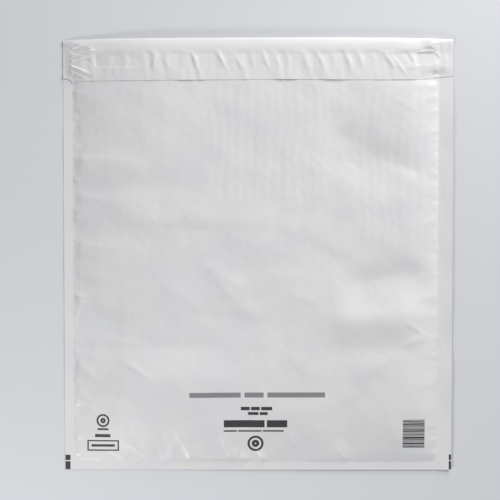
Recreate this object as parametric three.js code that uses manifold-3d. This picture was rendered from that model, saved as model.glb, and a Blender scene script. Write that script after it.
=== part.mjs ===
// A padded envelope: a white plastic film bag with a bubble lining, lying on its back with its flap folded shut.
// Millimetres. X runs across the bag, Y from the bottom seal to the top fold, Z up out of the front face.
// The origin is on the surface that the bag lies on, under the middle of its outline.

import * as THREE from "three";
import { mergeVertices } from "three/addons/utils/BufferGeometryUtils.js";
import Module from "manifold-3d";

// Overall sizes of the bag.
const CLEAR_WIDTH = 350; // inside, from one side seal to the other
const LEFT_SEAL = 9; // width of the welded strip down the left side
const RIGHT_SEAL = 13.5; // the right one is wider, as the bags are cut from a web a little off centre
const LENGTH = 415; // bottom edge to the top fold
const BOTTOM_SEAL = 7.5; // depth of the welded bottom strip
const FLAP_DEPTH = 40.5; // top fold down to the flap's free edge

// Layers, and the air between them.
const FILM = 0.4; // wall of the film
const LAYER = 4.6; // one layer of the bubble lining
const CLEARANCE = 0.3; // between any two pieces
const POCKET_AIR = 2.5; // how far the two lining layers part in the middle of the empty pocket
const WELD = 0.05; // how far each film is pressed into the other in a seal

// The flap's closure: a band of glue under the flap, and the peel-off strip that covers it.
// Left and right are how far each stops short of the side seals, top how far it is below the fold.
const GLUE = { left: 20, right: 5, top: 17.5, width: 10.5, thick: 0.3 };
const PEEL = { left: 18, right: 1.5, top: 16, width: 13.5, thick: 0.2 };
const STRIP_AIR = 0.4; // above and below each of the two strips
const FLAP_GAP = 3 * STRIP_AIR + GLUE.thick + PEEL.thick;

// How the padding swells up from the seals.
const SIDE_RUN = 46; // distance from a side seal to full thickness
const BOTTOM_RUN = 85; // the same from the bottom seal
const FOLD_RUN = 60; // and from the top fold
const SWELL_POWER = 2.6; // 1 is a straight ramp, more is a rounder shoulder
const FOLD_SWELL = 0.5; // share of the full thickness that is left at the top fold
const SEAL_HEIGHT = 1.8; // the welded strips' middle, above the table
const FOLD_PINCH = 2.6; // how far the flat ends of the fold sit below its padded middle
const FLAP_LIFT = 3; // how much shorter the flap is on the flat side strips
const MOUTH_SETBACK = 4; // the front film's mouth edge, below the start of the fold
const LINING_INSET = 6; // the lining's side edges, inside the side seals
const LINING_FLOOR = 12; // the lining's lower edge, above the bottom seal
const LINING_SETBACK = 3; // the lining's top edge, below the mouth edge
const POCKET_MARGIN = 6; // where the two lining layers are welded together round the pocket

// Ribs that the sealing bars leave along the side strips.
const RIB = { pitch: 2.4, width: 1.1, height: 0.2, margin: 1.2, end: 6 };

// How finely the soft shapes are divided.
const STEPS = { side: 8, across: 8, bottom: 8, along: 7, top: 7, flap: 6, fold: 8 };

const HALF_WIDTH = (CLEAR_WIDTH + LEFT_SEAL + RIGHT_SEAL) / 2;
const HALF_CLEAR = CLEAR_WIDTH / 2;
const CENTRE = (LEFT_SEAL - RIGHT_SEAL) / 2; // middle of the padded part, across the bag
const BOTTOM = -LENGTH / 2;
const TOP = LENGTH / 2;
const SEAL_LINE = BOTTOM + BOTTOM_SEAL;
const HALF_THICKNESS = FILM + LAYER + 1.5 * CLEARANCE;

const clamp01 = (t) => Math.min(1, Math.max(0, t));
const shoulder = (t) => 1 - (1 - clamp01(t)) ** SWELL_POWER;

// Share of the full thickness at a point: 0 on the seals, 1 over the middle of the bag, FOLD_SWELL at the top fold.
function swell(x, y) {
  const fromSide = HALF_CLEAR - Math.abs(x - CENTRE);
  const across = shoulder(fromSide / SIDE_RUN);
  const fromBottom = shoulder((y - SEAL_LINE) / BOTTOM_RUN);
  const fromFold =
    FOLD_SWELL + (1 - FOLD_SWELL) * shoulder((TOP - y) / FOLD_RUN);
  return across * fromBottom * fromFold;
}

// The extra height of the front over the air in the pocket.
function crown(x, y) {
  const u = clamp01(Math.abs(x - CENTRE) / HALF_CLEAR);
  const v = clamp01(Math.abs(y) / TOP);
  return POCKET_AIR * (1 - u * u) ** 2 * (1 - v * v) ** 2;
}

// Heights of the surfaces, from the table up.
const middle = (x, y) =>
  SEAL_HEIGHT + (HALF_THICKNESS - SEAL_HEIGHT) * swell(x, y);
const halfThickness = (x, y) => FILM + (HALF_THICKNESS - FILM) * swell(x, y);
const backFace = (x, y) => middle(x, y) - halfThickness(x, y);
const frontFace = (x, y) =>
  middle(x, y) + halfThickness(x, y) + crown(x, y);

// Where the top fold and the flap's free edge lie at a place across the bag.
const foldTop = (x) => TOP - FOLD_PINCH * (1 - swell(x, 0));
const flapEdge = (x) => TOP - FLAP_DEPTH + FLAP_LIFT * (1 - swell(x, 0));

// Places from a to b with the given number of steps. A bias over 1 crowds them towards a.
function places(a, b, steps, bias = 1) {
  return Array.from(
    { length: steps + 1 },
    (_, i) => a + (b - a) * (i / steps) ** bias,
  );
}

// Joins lists of places end to end, with the shared ends kept once.
function chain(...lists) {
  return lists.reduce((all, list) => all.concat(list.slice(1)));
}

// Places across the padded part, out to a half width, close together on the two shoulders.
function acrossPlaces(half) {
  const start = HALF_CLEAR - SIDE_RUN;
  const right = places(half, start, STEPS.side, 1.3).reverse();
  const centre = places(-start, start, STEPS.across);
  const left = right.map((x) => -x).reverse();
  return chain(left, centre, right).map((x) => CENTRE + x);
}

// The same, carried out over the side strips to the bag's edges.
const edgeToEdge = () => [
  -HALF_WIDTH,
  ...acrossPlaces(HALF_CLEAR),
  HALF_WIDTH,
];

// Skins closed outlines, one for each place along X, into one closed body.
// Each outline is a list of (y, z) that runs anticlockwise seen from +X: one side of a sheet, then
// the other side back again, with as many points on each.
function loft(xs, outlineAt) {
  const outlines = xs.map(outlineAt);
  const n = outlines[0].length;
  const positions = [];
  xs.forEach((x, i) =>
    outlines[i].forEach((p) => positions.push(x, p.x, p.y)),
  );
  const index = [];
  for (let i = 0; i + 1 < xs.length; i++) {
    for (let j = 0; j < n; j++) {
      const a = i * n + j;
      const b = i * n + ((j + 1) % n);
      index.push(a, b, a + n, b, b + n, a + n);
    }
  }
  const last = (xs.length - 1) * n;
  for (let j = 0; j + 1 < n / 2; j++) {
    const k = n - 1 - j;
    index.push(j, k, j + 1, j + 1, k, k - 1);
    index.push(last + j, last + j + 1, last + k);
    index.push(last + j + 1, last + k - 1, last + k);
  }
  const geometry = new THREE.BufferGeometry();
  geometry.setAttribute(
    "position",
    new THREE.Float32BufferAttribute(positions, 3),
  );
  geometry.setIndex(index);
  return geometry;
}

// The outline of a slab between two heights, over a run of places along Y.
function slab(ys, low, high) {
  const under = ys.map((y) => new THREE.Vector2(y, low(y)));
  const over = ys.map((y) => new THREE.Vector2(y, high(y))).reverse();
  return [...under, ...over];
}

// The front film, from the bottom edge to the mouth.
function frontFilm() {
  return loft(edgeToEdge(), (x) => {
    const mouth = foldStart(x).y - MOUTH_SETBACK;
    const ys = alongPlaces(BOTTOM, mouth);
    const weld = (y) => (swell(x, y) > 0 ? 0 : WELD);
    return slab(
      ys,
      (y) => frontFace(x, y) - FILM - weld(y),
      (y) => frontFace(x, y),
    );
  });
}

// Places up the bag, from the bottom edge to an upper end, close together on the two shoulders.
function alongPlaces(from, to) {
  const lower = SEAL_LINE + BOTTOM_RUN;
  const upper = TOP - FOLD_RUN;
  return chain(
    [from, SEAL_LINE],
    places(SEAL_LINE, lower, STEPS.bottom, 1.3),
    places(lower, upper, STEPS.along),
    places(upper, to, STEPS.top),
  );
}

// The half round of the top fold at x: its centre, its outer radius, and where it starts.
function foldStart(x) {
  const guess = foldTop(x) - HALF_THICKNESS;
  const low = backFace(x, guess);
  const high = frontFace(x, guess) + FLAP_GAP + FILM;
  const radius = (high - low) / 2;
  return { y: foldTop(x) - radius, z: low + radius, radius };
}

// The back film, carried on round the top fold and down the front as the flap: one web.
function backFilmAndFlap() {
  return loft(edgeToEdge(), (x) => {
    const fold = foldStart(x);
    const ys = alongPlaces(BOTTOM, fold.y);
    const flapYs = places(fold.y, flapEdge(x), STEPS.flap);
    const angles = places(-Math.PI / 2, Math.PI / 2, STEPS.fold).slice(1, -1);
    const weld = (y) => (swell(x, y) > 0 ? 0 : WELD);
    const round = (radius) =>
      angles.map(
        (a) =>
          new THREE.Vector2(
            fold.y + radius * Math.cos(a),
            fold.z + radius * Math.sin(a),
          ),
      );
    const flapTop = (y) => frontFace(x, y) + FLAP_GAP + FILM;
    const outer = [
      ...ys.map((y) => new THREE.Vector2(y, backFace(x, y))),
      ...round(fold.radius),
      ...flapYs.map((y) => new THREE.Vector2(y, flapTop(y))),
    ];
    const inner = [
      ...ys.map((y) => new THREE.Vector2(y, backFace(x, y) + FILM + weld(y))),
      ...round(fold.radius - FILM),
      ...flapYs.map((y) => new THREE.Vector2(y, flapTop(y) - FILM)),
    ];
    return [...outer, ...inner.reverse()];
  });
}

// One rib, pressed right through both films of a side strip.
function sealRib(x) {
  const half = FILM + RIB.height;
  const section = new THREE.Shape([
    new THREE.Vector2(-RIB.width / 2, -FILM / 2),
    new THREE.Vector2(-RIB.width / 4, -half),
    new THREE.Vector2(RIB.width / 4, -half),
    new THREE.Vector2(RIB.width / 2, -FILM / 2),
    new THREE.Vector2(RIB.width / 2, FILM / 2),
    new THREE.Vector2(RIB.width / 4, half),
    new THREE.Vector2(-RIB.width / 4, half),
    new THREE.Vector2(-RIB.width / 2, FILM / 2),
  ]);
  const length = LENGTH - FLAP_DEPTH - 2 * RIB.end;
  const geometry = new THREE.ExtrudeGeometry(section, {
    depth: length,
    bevelEnabled: false,
  });
  geometry.rotateX(Math.PI / 2);
  geometry.translate(x, BOTTOM + RIB.end + length, SEAL_HEIGHT);
  return geometry;
}

// The bubble lining: two padded layers joined round three sides, open at the top.
function liningBody() {
  const half = HALF_CLEAR - LINING_INSET;
  return loft(acrossPlaces(half), (x) => {
    const top = foldStart(x).y - MOUTH_SETBACK - LINING_SETBACK;
    const floor = SEAL_LINE + LINING_FLOOR;
    const ys = [floor, ...alongPlaces(SEAL_LINE, top).filter((y) => y > floor)];
    return slab(
      ys,
      (y) => backFace(x, y) + FILM + CLEARANCE,
      (y) => frontFace(x, y) - FILM - CLEARANCE,
    );
  });
}

// The flat air space between the two layers of the lining, carried out past its top edge.
function pocket() {
  const half = HALF_CLEAR - LINING_INSET - POCKET_MARGIN;
  return loft(acrossPlaces(half), (x) => {
    const floor = SEAL_LINE + LINING_FLOOR + POCKET_MARGIN;
    const ys = [floor, ...alongPlaces(SEAL_LINE, TOP).filter((y) => y > floor)];
    return slab(
      ys,
      (y) => middle(x, y) - CLEARANCE / 2,
      (y) => middle(x, y) + CLEARANCE / 2 + crown(x, y),
    );
  });
}

// A band that lies on the front film under the flap, at a height above the film.
function band({ left, right, top, width, thick }, height) {
  const from = CENTRE - HALF_CLEAR + left;
  const to = CENTRE + HALF_CLEAR - right;
  const inside = acrossPlaces(HALF_CLEAR).filter((x) => x > from && x < to);
  return loft([from, ...inside, to], (x) => {
    const ys = places(foldTop(x) - top - width, foldTop(x) - top, 2);
    return slab(
      ys,
      (y) => frontFace(x, y) + height,
      (y) => frontFace(x, y) + height + thick,
    );
  });
}

const wasm = await Module();
wasm.setup();

// A closed geometry as a solid that can be joined and cut.
function solid(geometry) {
  const bare = new THREE.BufferGeometry();
  bare.setAttribute("position", geometry.getAttribute("position"));
  if (geometry.index) bare.setIndex(geometry.index);
  const merged = mergeVertices(bare, 1e-4);
  return new wasm.Manifold(
    new wasm.Mesh({
      numProp: 3,
      vertProperties: merged.attributes.position.array,
      triVerts: new Uint32Array(merged.index.array),
    }),
  );
}

// The geometry of a solid.
function geometryOf(made) {
  const { vertProperties, triVerts } = made.getMesh();
  const geometry = new THREE.BufferGeometry();
  geometry.setAttribute(
    "position",
    new THREE.Float32BufferAttribute(vertProperties, 3),
  );
  geometry.setIndex(new THREE.Uint32BufferAttribute(triVerts, 1));
  geometry.computeVertexNormals();
  return geometry;
}

// The film bag: front film and back film welded along the sides and the bottom, with the ribs of the side seals.
function filmBag() {
  let bag = solid(backFilmAndFlap()).add(solid(frontFilm()));
  const strips = [
    { from: -HALF_WIDTH, width: LEFT_SEAL },
    { from: HALF_WIDTH - RIGHT_SEAL, width: RIGHT_SEAL },
  ];
  for (const { from, width } of strips) {
    const room = width - 2 * RIB.margin - RIB.width;
    const count = Math.floor(room / RIB.pitch) + 1;
    const first = from + (width - (count - 1) * RIB.pitch) / 2;
    for (let i = 0; i < count; i++)
      bag = bag.add(solid(sealRib(first + i * RIB.pitch)));
  }
  return geometryOf(bag);
}

const whiteFilm = new THREE.MeshStandardMaterial({
  color: 0xd6d7d9,
  roughness: 0.42,
  metalness: 0,
});
const clearBubble = new THREE.MeshStandardMaterial({
  color: 0xe6eaec,
  roughness: 0.2,
  metalness: 0,
});
const glue = new THREE.MeshStandardMaterial({
  color: 0xe3dcc4,
  roughness: 0.35,
  metalness: 0,
});
const peelStrip = new THREE.MeshStandardMaterial({
  color: 0xe9e9e6,
  roughness: 0.25,
  metalness: 0,
});

const envelope = new THREE.Group();

function place(name, geometry, material) {
  const mesh = new THREE.Mesh(geometry, material);
  mesh.name = name;
  envelope.add(mesh);
}

place("outer_film", filmBag(), whiteFilm);
place(
  "bubble_lining",
  geometryOf(solid(liningBody()).subtract(solid(pocket()))),
  clearBubble,
);
place("release_strip", band(PEEL, STRIP_AIR), peelStrip);
place("glue_band", band(GLUE, 2 * STRIP_AIR + PEEL.thick), glue);

export default envelope;
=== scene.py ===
import math

import bpy
import numpy as np
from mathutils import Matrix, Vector


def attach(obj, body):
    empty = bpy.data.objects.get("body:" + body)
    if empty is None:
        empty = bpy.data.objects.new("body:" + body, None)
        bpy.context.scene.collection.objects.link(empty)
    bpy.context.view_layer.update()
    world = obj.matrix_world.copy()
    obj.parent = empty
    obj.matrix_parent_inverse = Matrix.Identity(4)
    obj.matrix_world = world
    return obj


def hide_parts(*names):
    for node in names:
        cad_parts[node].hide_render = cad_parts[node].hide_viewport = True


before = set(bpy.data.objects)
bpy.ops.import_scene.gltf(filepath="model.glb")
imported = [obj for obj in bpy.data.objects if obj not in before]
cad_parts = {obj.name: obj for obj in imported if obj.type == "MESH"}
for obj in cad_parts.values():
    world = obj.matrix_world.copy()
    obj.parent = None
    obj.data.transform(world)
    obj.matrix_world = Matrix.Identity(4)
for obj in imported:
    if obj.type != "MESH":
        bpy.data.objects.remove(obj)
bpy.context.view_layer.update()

# A padded envelope of white film, lying on its back with its flap folded shut.
# Shapes are worked out in millimetres: X across the front, Y up to the top fold,
# Z out of the front. They become metres when a mesh is made.

MM = 0.001

# The outline and the thickness in the middle, as in the solid model
CLEAR_WIDTH = 350.0  # from one side seal to the other
LEFT_SEAL = 9.0
RIGHT_SEAL = 13.5
LENGTH = 415.0  # from the bottom edge to the top fold
BOTTOM_SEAL = 7.5
FILM_AND_LINING = 5.45  # one film with its lining layer, half of the bag's thickness
POCKET_AIR = 2.5  # what the empty pocket's air adds in the middle

# How the bag swells, drawn out further from its seals than in the solid model
LEFT_RUN = 100.0  # from the left seal to the full thickness
RIGHT_RUN = 50.0
BOTTOM_RUN = 90.0
FOLD_RUN = 70.0
LEFT_POWER = 2.2  # 1 is a straight ramp, more is a rounder shoulder
SWELL_POWER = 2.6
FOLD_POWER = 2.0
FOLD_SWELL = 0.6  # share of the full thickness that is left at the top fold
LEFT_SEAL_UP = 0.28  # middle of the welded strips above the table
RIGHT_SEAL_UP = 1.1
SEAL_HALF = 0.16  # half of the thickness of a welded strip
WALL = 0.15  # thickness of the film

# The fold and the flap
FOLD_EASE = 8.0  # how much longer than high the round of the fold is
FOLD_AIR = 2.6  # more air under the flap where the round of the fold begins
MOUTH_SETBACK = 2.0  # the front's mouth edge, below the start of the round
LEAST_GAP = 0.15  # between the front and the flap's inner face
LEFT_TAB_UP = 1.5  # how far the flap's ends stand up at the side seals
RIGHT_TAB_UP = 2.4
LEFT_EDGE_UP = 0.9  # and the free edge of its left end

HAIR = 0.004  # keeps faces apart that lie on each other in the welds

HALF_CLEAR = CLEAR_WIDTH / 2
HALF_WIDTH = (CLEAR_WIDTH + LEFT_SEAL + RIGHT_SEAL) / 2
CENTRE = (LEFT_SEAL - RIGHT_SEAL) / 2
LEFT_LINE = CENTRE - HALF_CLEAR
RIGHT_LINE = CENTRE + HALF_CLEAR
BOTTOM = -LENGTH / 2
TOP = LENGTH / 2
SEAL_LINE = BOTTOM + BOTTOM_SEAL


def smooth(t):
    """0 below 0, 1 above 1, and t squared times (3 - 2t) between."""
    t = np.clip(t, 0.0, 1.0)
    return t * t * (3 - 2 * t)


def shoulder(t, power):
    """A rounded rise: 1 minus (1 - t) to the power."""
    return 1 - (1 - np.clip(t, 0.0, 1.0)) ** power


def window(v, low, high, soft):
    """1 between low and high, falling to 0 over the soft width outside them."""
    return smooth((v - low) / soft + 1) * smooth((high - v) / soft + 1)


def swell(x, y):
    """Share of the full thickness: the product of the rises from the side seals, from the
    bottom seal and from the top fold, where FOLD_SWELL of it is left."""
    from_left = shoulder((x - LEFT_LINE) / LEFT_RUN, LEFT_POWER)
    from_right = shoulder((RIGHT_LINE - x) / RIGHT_RUN, SWELL_POWER)
    across = np.where(x < CENTRE, from_left, from_right)
    up = shoulder((y - SEAL_LINE) / BOTTOM_RUN, SWELL_POWER)
    fold = FOLD_SWELL + (1 - FOLD_SWELL) * shoulder((TOP - y) / FOLD_RUN, FOLD_POWER)
    return across * up * fold


def crown(x, y):
    """The empty pocket's air: (1 - u squared) squared times (1 - v squared) squared."""
    u = np.clip(np.abs(x - CENTRE) / HALF_CLEAR, 0, 1)
    v = np.clip(np.abs(y) / TOP, 0, 1)
    return POCKET_AIR * (1 - u * u) ** 2 * (1 - v * v) ** 2


def seal_height(x):
    """Height of the welds: the left side strip lies almost on the table, the right one higher,
    with an eased rise of 250 mm between."""
    return LEFT_SEAL_UP + (RIGHT_SEAL_UP - LEFT_SEAL_UP) * smooth((x + 150) / 250)


def middle(x, y):
    """The bag's middle plane: from the welds' height up to half the thickness, by the swell."""
    return seal_height(x) + (FILM_AND_LINING - seal_height(x)) * swell(x, y)


def half_thickness(x, y):
    """Half of the bag's thickness: from a weld's to the full one, by the swell."""
    return SEAL_HALF + (FILM_AND_LINING - SEAL_HALF) * swell(x, y)


def back_base(x, y):
    """The plain back: the middle plane less half the thickness."""
    return middle(x, y) - half_thickness(x, y)


def front_base(x, y):
    """The plain front: the middle plane plus half the thickness and the pocket's air."""
    return middle(x, y) + half_thickness(x, y) + crown(x, y)


def side_distance(x):
    """Distance in from the nearer side seal, negative on the strips."""
    return HALF_CLEAR - np.abs(x - CENTRE)


def seal_distance(x, y):
    """Distance in from the nearest of the side and bottom seals."""
    return np.minimum(side_distance(x), y - SEAL_LINE)


def off_seals(x, y):
    """0 on the side and bottom seals, and 1 from a few millimetres in."""
    return smooth(side_distance(x) / 5) * smooth((y - SEAL_LINE) / 3.5)


# Folds in the film


def fold_mark(x, y, mark):
    """One soft fold along a bowed line. Across it the height falls as
    exp(-1.6 (sqrt(t squared + r squared) - r)), where t is the distance over the width of that
    side and r, which rounds the top, grows with the width. Along it the height comes in and
    goes out over a third of its length. A fold with a flare comes in over the first ninth or
    3.5 mm of it, as on a seal, then widens by that share and fades over three quarters."""
    x0, y0, x1, y1, height, width, skew, bow, flare = mark
    length = math.hypot(x1 - x0, y1 - y0)
    ux, uy = (x1 - x0) / length, (y1 - y0) / length
    along = ((x - x0) * ux + (y - y0) * uy) / length
    across = (y - y0) * ux - (x - x0) * uy
    clipped = np.clip(along, 0, 1)
    across = across - bow * 4 * clipped * (1 - clipped)
    side = np.where(across > 0, 2 * skew, 2 * (1 - skew)) * width / 2
    side = side * (1 + flare * clipped)
    r = min(max(width / 14, 0.3), 0.9)
    t = across / side
    across_profile = np.exp(-1.6 * (np.sqrt(t * t + r * r) - r))
    start, stop = (max(0.11, 3.5 / length), 0.75) if flare else (0.34, 0.34)
    ends = smooth(along / start + 0.12) * smooth((1 - along) / stop + 0.12)
    return height * across_profile * ends


# Each mark: from x, y, to x, y, height, width, share of the width on its left, bow, flare
PANEL_MARKS = [
    # Long hollow that falls from the flap towards the right seal, and small ones below it
    (56.0, 133.0, 168.0, 74.0, -1.8, 46, 0.4, -11, 0),
    (80.4, 99.7, 111.1, 74.7, -0.1, 8, 0.6, -3, 0),
    (128.3, 90.1, 159.0, 76.6, -0.3, 10, 0.5, -1, 0),
    # Short rib below the flap
    (80.2, 165.1, 79.3, 134.4, 0.2, 14, 0.3, 0, 0),
    # Ribs that run in from the left seal
    (-174.5, 90.1, -94.0, 82.4, 0.85, 15, 0.3, 3, 0.8),
    (-174.6, 54.5, -103.7, 52.5, 0.5, 12, 0.35, 0, 0.8),
    (-174.9, 7.3, -107.7, 3.5, 0.7, 14, 0.3, 2, 0.8),
    (-173.4, 119.0, -118.7, 142.1, 0.5, 9, 0.5, 2, 0.8),
    (-174.2, 136.3, -135.9, 159.4, 0.4, 7, 0.5, 2, 0.8),
    (-175.1, -44.7, -127.0, -31.2, 0.5, 9, 0.5, 2, 0.8),
    (-175.0, -18.7, -134.6, -22.5, 0.45, 8, 0.5, 0, 0.8),
    # Wide flat swells and hollows across the upper half
    (-167.1, 38.1, 49.8, 33.3, 0.6, 28, 0.5, -3, 0),
    (-142.2, 24.7, 30.2, 19.8, -0.2, 10, 0.5, 2, 0),
    (-170.8, 61.2, -46.1, 65.1, -0.5, 20, 0.5, 0, 0),
    (-0.1, 32.3, 45.9, 50.6, 0.15, 8, 0.5, 2, 0),
    # Hollows and ridges at the right
    (36.4, 20.8, 94.1, -12.9, -0.4, 15, 0.5, -2, 0),
    (74.9, -36.0, 168.2, -17.7, -2.3, 32, 0.45, 4, 0),
    (57.6, -61.0, 168.3, -55.2, 2.1, 32, 0.45, -3, 0),
    (139.4, -63.9, 162.6, -79.3, 0.35, 5, 0.5, 1, 0),
    (134.7, -88.9, 165.5, -77.4, 0.4, 8, 0.5, 1, 0),
    (88.6, -123.6, 144.3, -90.9, 0.9, 20, 0.5, 4, 0),
    (51.9, -88.9, 159.8, -92.8, -1.0, 26, 0.5, 0, 0),
    (99.9, -44.7, 109.5, -33.1, 0.2, 5, 0.5, 0, 0),
    (117.2, -47.5, 124.9, -35.0, 0.2, 5, 0.5, 0, 0),
    # Hollows and ridges at the left
    (-176.2, -62.0, -94.4, -78.3, -1.4, 24, 0.5, 3, 0.5),
    (-165.7, -85.1, -102.2, -87.0, 0.5, 9, 0.5, 2, 0),
    (-175.4, -85.7, -21.3, -88.7, -0.9, 18, 0.5, 0, 0),
    (-134.9, -97.6, -94.6, -125.5, 0.6, 7, 0.5, 1, 0),
    (-175.4, -102.4, -146.6, -129.3, 0.6, 8, 0.5, 1, 0.6),
    (-175.5, -129.3, -140.9, -160.1, 0.4, 8, 0.5, 1, 0.6),
    # Small crumples in the middle
    (-94.3, -27.3, -52.0, -53.3, 0.55, 16, 0.5, 2, 0),
    (-59.7, -6.2, -11.6, -34.1, 0.55, 13, 0.45, 2, 0),
    (-44.3, -15.8, -21.3, -44.7, 0.35, 11, 0.5, 0, 0),
    (-0.1, -15.8, 69.1, -25.4, 0.45, 18, 0.4, 0, 0),
    (26.8, -36.0, 61.5, -47.5, 0.35, 12, 0.5, 1, 0),
    (17.2, -60.1, 29.8, -108.2, -0.35, 14, 0.5, 2, 0),
    (23.0, -90.9, 53.9, -119.7, 0.4, 14, 0.5, 1, 0),
    (-21.3, -44.7, 3.8, -65.8, 0.3, 12, 0.5, 1, 0),
    (-75.0, -60.0, 20.0, -64.0, -0.3, 16, 0.5, 2, 0),
    # The broad pillow at the lower left, bright on its upper side
    (-165.0, -118.0, -10.0, -124.0, 2.1, 48, 0.4, 2, 0),
    # Gathers at the bottom seal, and folds above it
    (-63.5, -199.5, -90.0, -150.0, 0.42, 6, 0.5, -2, 0.8),
    (-25.0, -199.5, -46.5, -150.0, 0.5, 6, 0.5, -2, 0.8),
    (-51.0, -199.0, -53.0, -168.0, 0.3, 5, 0.5, 0, 0.6),
    (-9.6, -200.5, -18.5, -184.5, 0.9, 4.5, 0.5, 0, 0.6),
    (8.6, -200.5, -2.0, -183.5, 0.9, 4.5, 0.5, 0, 0.6),
    (-21.0, -200.5, -26.0, -183.0, 0.6, 4.5, 0.5, 0, 0.6),
    (-104.0, -199.5, -133.0, -175.0, 0.35, 5, 0.5, 0, 0.8),
    (-126.0, -199.0, -150.0, -182.0, 0.25, 5, 0.5, 0, 0.8),
    (37.5, -186.0, 28.0, -168.0, 0.35, 6, 0.5, 0, 0),
    (91.5, -135.1, 85.8, -189.0, -0.9, 16, 0.25, -3, 0),
    (109.8, -119.7, 139.0, -196.7, 0.5, 18, 0.5, 2, 0),
    (88.0, -199.5, 72.0, -184.0, 0.4, 4, 0.5, 0, 0.6),
    # Little bumps below the flap's right end
    (131.9, 151.7, 120.4, 156.5, 0.12, 4, 0.5, 0, 0),
    (139.6, 144.0, 127.1, 149.7, 0.12, 4, 0.5, 0, 0),
    (153.0, 138.2, 139.6, 142.1, 0.1, 4, 0.5, 0, 0),
]
MARK_STRENGTH = 1.7  # what all of these heights are multiplied by


def puckers(x, y, line, inward, ends, count, seed, strength):
    """Gathers that start on a seal. Each is a ridge or a hollow exp(-|t| to the 1.5) across,
    that widens as it runs in and fades as exp(-d / reach), with d the distance in from the
    seal."""
    rng = np.random.default_rng(seed)
    d = (x - line) * inward
    total = np.zeros(np.broadcast(x, y).shape)
    start, stop = ends
    pitch = (stop - start) / count
    for i in range(count):
        y0 = start + (i + 0.5 + rng.uniform(-0.38, 0.38)) * pitch
        lean = rng.normal(0, 0.22)
        kind = rng.random()
        reach = 3 + 5 * rng.random() if kind < 0.62 else 10 + 16 * rng.random() ** 2
        wide = 0.9 + 0.9 * rng.random() + (0.6 if reach > 10 else 0)
        size = strength * rng.choice([1.0, -0.8]) * (0.45 + 0.75 * rng.random())
        t = (y - y0 - lean * d) / (wide + 0.16 * np.maximum(d, 0))
        total += size * np.exp(-np.abs(t) ** 1.5) * np.exp(-np.maximum(d, 0) / reach)
    return total * smooth(d / 1.6)


def pleats(x, y, line, inward, ends, count, seed, height, wide, reach):
    """Sharper gathers on a seal: ridges exp(-|t| to the 1.3) that are steep on their upper side
    and two and a half times as wide on their lower side, and fade as exp(-d / reach)."""
    rng = np.random.default_rng(seed)
    d = (x - line) * inward
    total = np.zeros(np.broadcast(x, y).shape)
    start, stop = ends
    pitch = (stop - start) / count
    for i in range(count):
        y0 = start + (i + 0.5 + rng.uniform(-0.42, 0.42)) * pitch
        lean = rng.normal(0, 0.16)
        share = 0.35 + 0.65 * rng.random()
        width = wide * (0.75 + 0.5 * rng.random())
        across = y - y0 - lean * d
        t = across / (width * np.where(across > 0, 1.0, 2.5) * (1 + 0.1 * np.maximum(d, 0)))
        fade = np.exp(-np.maximum(d, 0) / (reach * share))
        total += height * share * np.exp(-np.abs(t) ** 1.3) * fade
    return total * smooth(d / 2.5)


def waves(x, y, seed, pieces, longest, shortest):
    """A sum of sine waves with random directions, their lengths between longest and shortest,
    and their heights in proportion to their lengths to the 1.3; about 1 high in all."""
    rng = np.random.default_rng(seed)
    total = np.zeros(np.broadcast(x, y).shape)
    weight = 0.0
    for _ in range(pieces):
        wave = shortest * (longest / shortest) ** rng.random()
        turn = rng.uniform(0, math.tau)
        phase = rng.uniform(0, math.tau)
        size = (wave / longest) ** 1.3
        total += size * np.sin(
            math.tau * (x * math.cos(turn) + y * math.sin(turn)) / wave + phase
        )
        weight += size * size
    return total / math.sqrt(weight / 2)


# The rows of bubbles that show through the front
BUBBLE_PITCH, BUBBLE_RISE = 9.1, 10.5
BUBBLE_RELIEF = 0.06
# Where the film lies tight on the bubbles: in x and in y the low and high side and the soft
# width of an area, and its strength
TIGHT_AREAS = [
    ((-38, 60, 18), (62, 152, 16), 1.0),
    ((104, 158, 14), (10, 150, 18), 0.9),
    ((-150, 150, 20), (-110, 150, 20), 0.25),
]


def bubble_rows(x, y):
    """Rows of bubbles pressing through the film: a wave across at the bubbles' pitch, with a
    weaker beat up each row, only where the film lies tight on them."""
    across = np.cos(math.tau * x / BUBBLE_PITCH + 1.1 * waves(x, y, 3, 6, 120, 40))
    beat = np.cos(math.tau * y / BUBBLE_RISE + math.pi * np.round(x / BUBBLE_PITCH))
    pattern = across * (1 + 0.35 * beat)
    tight = sum(window(x, *wide) * window(y, *high) * share for wide, high, share in TIGHT_AREAS)
    return BUBBLE_RELIEF * pattern * np.clip(tight, 0, 1)


def panel_shape(x, y):
    """The front's broad form: the plain swell with the folds and waves in it, which sink no
    further than 0.7 of the way to the middle plane."""
    total = 0.22 * waves(x * 0.6, y, 11, 24, 80, 24)
    for mark in PANEL_MARKS:
        total = total + MARK_STRENGTH * fold_mark(x, y, mark)
    plain = front_base(x, y)
    room = 0.7 * (plain - middle(x, y))
    return plain + np.maximum(total * off_seals(x, y), -room)


def inner_share(x, y):
    """Where the film's inner face lies between the middle plane and the front: 0.36 of the way
    at the seals, 0.82 from 20 mm in."""
    return 0.36 + 0.46 * smooth(seal_distance(x, y) / 20)


# Each run of side gathers: its kind, seal, direction, count and seed, then the heights and
# sizes that its kind takes
SIDE_GATHERS = [
    (pleats, LEFT_LINE, 1, 110, 21, 0.45, 0.6, 3.5),
    (pleats, LEFT_LINE, 1, 27, 24, 1.4, 1.0, 9),
    (puckers, LEFT_LINE, 1, 40, 25, 0.3),
    (pleats, RIGHT_LINE, -1, 130, 22, 0.45, 0.6, 3.0),
    (pleats, RIGHT_LINE, -1, 36, 26, 0.7, 1.0, 5),
    (puckers, RIGHT_LINE, -1, 50, 27, 0.5),
]
CREASE_DEPTH = 0.28
CREASE_WIDTH = 1.1


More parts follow.
